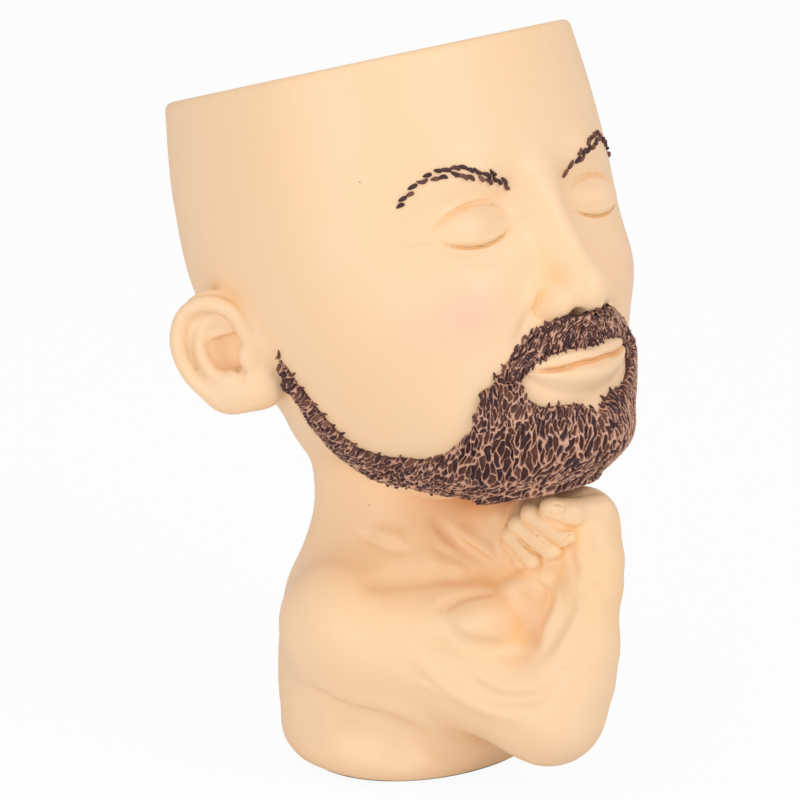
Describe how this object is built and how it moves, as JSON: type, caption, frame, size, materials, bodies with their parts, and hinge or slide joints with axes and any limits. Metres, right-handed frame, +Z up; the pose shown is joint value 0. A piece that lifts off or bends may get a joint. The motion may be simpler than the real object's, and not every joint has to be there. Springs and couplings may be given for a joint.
{
  "type": "head planter",
  "caption": "Cast head-shaped flower pot on a small bust, its fist under the chin, with a short beard, a moustache, an open tilted crown for soil and a drain plug.",
  "frame": {"origin": "centre of the base, on the surface that the planter stands on", "axes": "+Z up, the face towards -Y, the figure's own right arm and ear on the -X side"},
  "size_m": [0.153, 0.1613, 0.2272],
  "materials": {
    "skin_paint": "satin paint on cast resin",
    "hair_paint": "dark brown with dry-brushed lighter ridges",
    "plug_rubber": "matte",
    "felt": "short nap"
  },
  "bodies": {
    "planter": {"head_pot": "skin_paint", "ear_right": "skin_paint", "ear_left": "skin_paint", "eyebrow_right": "hair_paint", "eyebrow_left": "hair_paint", "moustache": "hair_paint", "beard": "hair_paint", "bust": "skin_paint", "arm_right": "skin_paint", "hand_right": "skin_paint", "arm_left": "skin_paint", "hand_left": "skin_paint", "base_felt": "felt"},
    "plug": {"drain_plug": "plug_rubber"}
  },
  "joints": [
    {"name": "plug_pull", "type": "slide", "parent": "planter", "child": "plug", "axis": [0, 0.2924, 0.9563], "range_m": [0, 0.03]}
  ]
}
